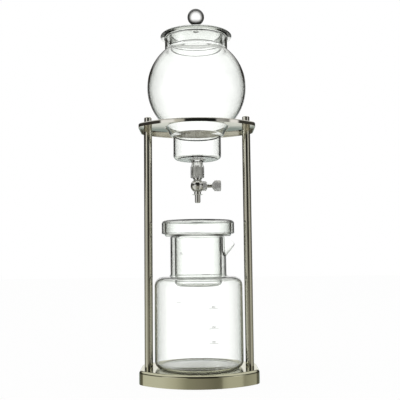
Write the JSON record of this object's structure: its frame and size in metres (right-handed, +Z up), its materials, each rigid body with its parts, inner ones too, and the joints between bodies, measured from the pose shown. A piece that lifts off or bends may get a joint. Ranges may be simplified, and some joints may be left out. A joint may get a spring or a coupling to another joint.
{
  "type": "cold drip coffee tower",
  "caption": "Steel stand with a glass water tank that drips through a needle valve into a coffee basket on a glass carafe.",
  "frame": {"origin": "under the middle of the base, on the surface that the tower stands on", "axes": "+Z up, +X from post to post towards the valve knob and the spout, -Y the front"},
  "size_m": [0.158, 0.137, 0.5128],
  "materials": {
    "polished_steel": "polished",
    "post_steel": "polished lengthwise",
    "plain_steel": "plain",
    "cast_iron": "as cast",
    "valve_chrome": "polished",
    "clear_glass": "clear",
    "grey_silicone": "frosted",
    "black_rubber": "matte",
    "white_packing": "plain"
  },
  "bodies": {
    "stand": {"base_shell": "polished_steel", "base_weight": "cast_iron", "bottom_plate": "plain_steel", "cover_screws": "plain_steel", "foot_pads": "black_rubber", "post_left": "post_steel", "post_right": "post_steel", "post_screw_left": "plain_steel", "post_screw_right": "plain_steel", "post_washer_left": "plain_steel", "post_washer_right": "plain_steel", "top_ring": "polished_steel", "cap_nut_left": "polished_steel", "cap_nut_right": "polished_steel"},
    "tank": {"tank_glass": "clear_glass"},
    "tank_lid": {"tank_lid": "clear_glass"},
    "valve": {"stopper": "grey_silicone", "inlet_tube": "plain_steel", "valve_body": "valve_chrome", "drip_nozzle": "valve_chrome", "packing_ring": "white_packing", "packing_nut": "valve_chrome"},
    "spindle_seal": {"spindle_ring": "black_rubber"},
    "spindle": {"spindle": "valve_chrome", "valve_knob": "valve_chrome"},
    "carafe": {"carafe_glass": "clear_glass"},
    "basket": {"basket_glass": "clear_glass"},
    "basket_lid": {"basket_lid": "clear_glass"}
  },
  "joints": [
    {"name": "tank_lift", "type": "slide", "parent": "stand", "child": "tank", "axis": [0, 0, 1], "range_m": [0, 0.12]},
    {"name": "tank_lid_lift", "type": "slide", "parent": "tank", "child": "tank_lid", "axis": [0, 0, 1], "range_m": [0, 0.05]},
    {"name": "valve_swivel", "type": "hinge", "parent": "tank", "child": "valve", "pos_m": [0, 0, 0.2735], "axis": [0, 0, 1], "continuous": true},
    {"name": "spindle_travel", "type": "slide", "parent": "valve", "child": "spindle_seal", "axis": [1, 0, 0], "range_m": [0, 0.0022]},
    {"name": "knob_turn", "type": "hinge", "parent": "spindle_seal", "child": "spindle", "pos_m": [0, 0, 0.26281], "axis": [1, 0, 0], "range_deg": [0, 1080]},
    {"name": "carafe_out", "type": "slide", "parent": "stand", "child": "carafe", "axis": [0, -1, 0], "range_m": [0, 0.2]},
    {"name": "basket_lift", "type": "slide", "parent": "carafe", "child": "basket", "axis": [0, 0, 1], "range_m": [0, 0.022]},
    {"name": "basket_lid_lift", "type": "slide", "parent": "basket", "child": "basket_lid", "axis": [0, 0, 1], "range_m": [0, 0.022]}
  ],
  "couplings": [
    {"joint": "spindle_travel", "follows": "knob_turn", "m_per_rad": 0.00011141}
  ]
}
